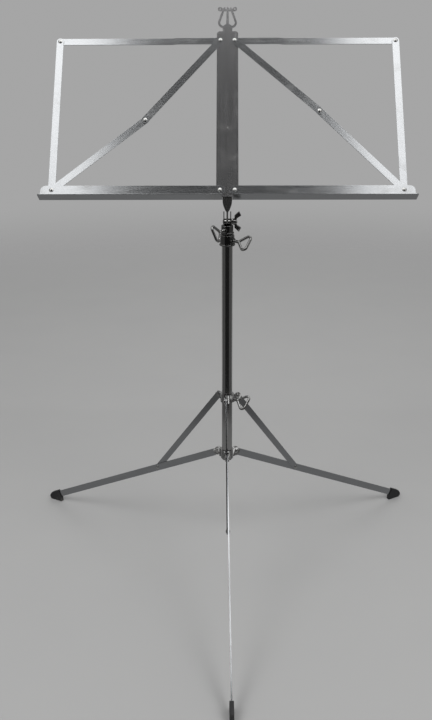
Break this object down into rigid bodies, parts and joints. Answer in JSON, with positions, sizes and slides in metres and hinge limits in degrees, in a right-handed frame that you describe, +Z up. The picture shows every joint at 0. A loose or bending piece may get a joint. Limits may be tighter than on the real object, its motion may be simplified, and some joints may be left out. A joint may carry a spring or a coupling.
{
  "type": "folding music stand",
  "caption": "Folding sheet-music stand with strip tripod, telescoping tube, wire-loop thumb screws and a folding lyre-topped desk.",
  "frame": {"origin": "centre of the footprint, on the floor; the tube stands behind it", "axes": "+Z up, +X to the reader's right, -Y towards the reader"},
  "size_m": [0.5812, 0.5084, 0.7503],
  "materials": {
    "strip_steel": "nickel-plated steel strip, lightly brushed along its length",
    "ledge_steel": "nickel-plated sheet steel, satin",
    "plate_steel": "nickel-plated sheet steel, satin",
    "tube_steel": "nickel-plated tube, bright",
    "clamp_chrome": "bright nickel plate",
    "wire_chrome": "bright nickel plate",
    "rivet_chrome": "bright nickel plate",
    "foot_rubber": "black moulded rubber, matt",
    "guide_plastic": "black plastic"
  },
  "bodies": {
    "stem": {"outer_tube": "tube_steel", "hub": "tube_steel", "hub_rivets": "rivet_chrome", "end_plug": "guide_plastic", "outer_clamp": "clamp_chrome"},
    "outer_screw": {"outer_knob": "wire_chrome"},
    "collar": {"sliding_collar": "tube_steel", "collar_rivets": "rivet_chrome"},
    "collar_screw": {"collar_knob": "wire_chrome"},
    "leg_front": {"leg_front": "strip_steel", "foot_front": "foot_rubber", "leg_rivet_front": "rivet_chrome"},
    "leg_right": {"leg_right": "strip_steel", "foot_right": "foot_rubber", "leg_rivet_right": "rivet_chrome"},
    "leg_left": {"leg_left": "strip_steel", "foot_left": "foot_rubber", "leg_rivet_left": "rivet_chrome"},
    "strut_front": {"strut_front": "strip_steel", "strut_rivet_front": "rivet_chrome"},
    "strut_right": {"strut_right": "strip_steel", "strut_rivet_right": "rivet_chrome"},
    "strut_left": {"strut_left": "strip_steel", "strut_rivet_left": "rivet_chrome"},
    "middle_guide": {"middle_bush": "guide_plastic"},
    "middle_stage": {"middle_tube": "clamp_chrome", "middle_clamp": "clamp_chrome"},
    "middle_screw": {"middle_knob": "wire_chrome"},
    "inner_guide": {"inner_bush": "guide_plastic"},
    "inner_stage": {"inner_tube": "clamp_chrome", "tilt_bolt": "rivet_chrome", "tilt_washers": "rivet_chrome"},
    "wing_nut": {"wing_nut": "wire_chrome"},
    "desk": {"tilt_bracket": "plate_steel", "centre_plate": "plate_steel", "ledge_rivets": "rivet_chrome", "top_rivets": "rivet_chrome"},
    "ledge_left": {"ledge_left": "ledge_steel", "ledge_end_rivet_left": "rivet_chrome"},
    "arm_left": {"arm_left": "strip_steel"},
    "outer_strip_left": {"outer_strip_left": "strip_steel", "corner_rivet_left": "rivet_chrome"},
    "brace_upper_left": {"brace_upper_left": "strip_steel", "brace_rivet_left": "rivet_chrome"},
    "brace_lower_left": {"brace_lower_left": "strip_steel", "brace_tail_left": "rivet_chrome"},
    "ledge_right": {"ledge_right": "ledge_steel", "ledge_end_rivet_right": "rivet_chrome"},
    "arm_right": {"arm_right": "strip_steel"},
    "outer_strip_right": {"outer_strip_right": "strip_steel", "corner_rivet_right": "rivet_chrome"},
    "brace_upper_right": {"brace_upper_right": "strip_steel", "brace_rivet_right": "rivet_chrome"},
    "brace_lower_right": {"brace_lower_right": "strip_steel", "brace_tail_right": "rivet_chrome"}
  },
  "joints": [
    {"name": "collar_slide", "type": "slide", "parent": "stem", "child": "collar", "axis": [0, 0, 1], "range_m": [0, 0.20459]},
    {"name": "leg_pivot_front", "type": "hinge", "parent": "stem", "child": "leg_front", "pos_m": [0.00312, 0.06589, 0.1655], "axis": [-0.9998, -0.0175, 0], "range_deg": [0, 113.5]},
    {"name": "leg_pivot_right", "type": "hinge", "parent": "stem", "child": "leg_right", "pos_m": [0.01488, 0.0871, 0.1655], "axis": [0.515, -0.8572, 0], "range_deg": [0, 113.5]},
    {"name": "leg_pivot_left", "type": "hinge", "parent": "stem", "child": "leg_left", "pos_m": [-0.00937, 0.08667, 0.1655], "axis": [0.4848, 0.8746, 0], "range_deg": [0, 113.5]},
    {"name": "strut_pivot_front", "type": "hinge", "parent": "collar", "child": "strut_front", "pos_m": [0.00313, 0.06509, 0.251], "axis": [-0.9998, -0.0175, 0], "range_deg": [-34.83, 0]},
    {"name": "strut_pivot_right", "type": "hinge", "parent": "collar", "child": "strut_right", "pos_m": [0.01556, 0.08751, 0.251], "axis": [0.515, -0.8572, 0], "range_deg": [-34.83, 0]},
    {"name": "strut_pivot_left", "type": "hinge", "parent": "collar", "child": "strut_left", "pos_m": [-0.01007, 0.08706, 0.251], "axis": [0.4848, 0.8746, 0], "range_deg": [-34.83, 0]},
    {"name": "outer_screw_turn", "type": "hinge", "parent": "stem", "child": "outer_screw", "pos_m": [0.00288, 0.07988, 0.4693], "axis": [0.766, -0.6428, 0], "continuous": true},
    {"name": "collar_screw_turn", "type": "hinge", "parent": "collar", "child": "collar_screw", "pos_m": [0.00288, 0.07988, 0.251], "axis": [0.766, -0.6428, 0], "continuous": true},
    {"name": "middle_screw_turn", "type": "hinge", "parent": "middle_stage", "child": "middle_screw", "pos_m": [0.00288, 0.07988, 0.48267], "axis": [-0.4695, -0.8829, 0], "continuous": true},
    {"name": "wing_nut_turn", "type": "hinge", "parent": "inner_stage", "child": "wing_nut", "pos_m": [0.00288, 0.07988, 0.493], "axis": [1, 0, 0], "continuous": true},
    {"name": "middle_slide", "type": "slide", "parent": "stem", "child": "middle_guide", "axis": [0, 0, 1], "range_m": [0, 0.2]},
    {"name": "middle_swivel", "type": "hinge", "parent": "middle_guide", "child": "middle_stage", "pos_m": [0.00288, 0.07988, 0.4775], "axis": [0, 0, 1], "range_deg": [-180, 30]},
    {"name": "inner_slide", "type": "slide", "parent": "middle_stage", "child": "inner_guide", "axis": [0, 0, 1], "range_m": [0, 0.2]},
    {"name": "inner_swivel", "type": "hinge", "parent": "inner_guide", "child": "inner_stage", "pos_m": [0.00288, 0.07988, 0.4885], "axis": [0, 0, 1], "range_deg": [-70, 180]},
    {"name": "desk_tilt", "type": "hinge", "parent": "inner_stage", "child": "desk", "pos_m": [0.00288, 0.07988, 0.493], "axis": [1, 0, 0], "range_deg": [-49.5, 34.5]},
    {"name": "ledge_fold_left", "type": "hinge", "parent": "desk", "child": "ledge_left", "pos_m": [-0.00642, 0.07988, 0.5325], "axis": [0, 0.8192, -0.5736], "range_deg": [0, 84]},
    {"name": "arm_fold_left", "type": "hinge", "parent": "desk", "child": "arm_left", "pos_m": [-0.00642, 0.2032, 0.70861], "axis": [0, 0.8192, -0.5736], "range_deg": [0, 84.5]},
    {"name": "outer_strip_fold_left", "type": "hinge", "parent": "ledge_left", "child": "outer_strip_left", "pos_m": [-0.21812, 0.07988, 0.5325], "axis": [0, 0.8192, -0.5736], "range_deg": [-84.5, 0]},
    {"name": "brace_upper_fold_left", "type": "hinge", "parent": "desk", "child": "brace_upper_left", "pos_m": [-0.00642, 0.2032, 0.70861], "axis": [0, 0.8192, -0.5736], "range_deg": [0, 125.39]},
    {"name": "brace_lower_fold_left", "type": "hinge", "parent": "ledge_left", "child": "brace_lower_left", "pos_m": [-0.21812, 0.07988, 0.5325], "axis": [0, 0.8192, -0.5736], "range_deg": [-141.29, 0]},
    {"name": "ledge_fold_right", "type": "hinge", "parent": "desk", "child": "ledge_right", "pos_m": [0.01218, 0.07988, 0.5325], "axis": [0, -0.8192, 0.5736], "range_deg": [0, 84]},
    {"name": "arm_fold_right", "type": "hinge", "parent": "desk", "child": "arm_right", "pos_m": [0.01218, 0.2032, 0.70861], "axis": [0, -0.8192, 0.5736], "range_deg": [0, 84.5]},
    {"name": "outer_strip_fold_right", "type": "hinge", "parent": "ledge_right", "child": "outer_strip_right", "pos_m": [0.22388, 0.07988, 0.5325], "axis": [0, -0.8192, 0.5736], "range_deg": [-84.5, 0]},
    {"name": "brace_upper_fold_right", "type": "hinge", "parent": "desk", "child": "brace_upper_right", "pos_m": [0.01218, 0.2032, 0.70861], "axis": [0, -0.8192, 0.5736], "range_deg": [0, 118.55]},
    {"name": "brace_lower_fold_right", "type": "hinge", "parent": "ledge_right", "child": "brace_lower_right", "pos_m": [0.22388, 0.07988, 0.5325], "axis": [0, -0.8192, 0.5736], "range_deg": [-134.45, 0]}
  ],
  "couplings": [
    {"joint": "leg_pivot_front", "follows": "collar_slide", "rad_per_m": 9.6399},
    {"joint": "leg_pivot_right", "follows": "collar_slide", "rad_per_m": 9.6399},
    {"joint": "leg_pivot_left", "follows": "collar_slide", "rad_per_m": 9.6399},
    {"joint": "strut_pivot_front", "follows": "collar_slide", "rad_per_m": -2.9291},
    {"joint": "strut_pivot_right", "follows": "collar_slide", "rad_per_m": -2.9291},
    {"joint": "strut_pivot_left", "follows": "collar_slide", "rad_per_m": -2.9291},
    {"joint": "arm_fold_left", "follows": "ledge_fold_left", "ratio": 1},
    {"joint": "outer_strip_fold_left", "follows": "ledge_fold_left", "ratio": -1},
    {"joint": "brace_upper_fold_left", "follows": "ledge_fold_left", "ratio": 1.4868},
    {"joint": "brace_lower_fold_left", "follows": "ledge_fold_left", "ratio": -1.6761},
    {"joint": "arm_fold_right", "follows": "ledge_fold_right", "ratio": 1},
    {"joint": "outer_strip_fold_right", "follows": "ledge_fold_right", "ratio": -1},
    {"joint": "brace_upper_fold_right", "follows": "ledge_fold_right", "ratio": 1.4054},
    {"joint": "brace_lower_fold_right", "follows": "ledge_fold_right", "ratio": -1.5947}
  ]
}
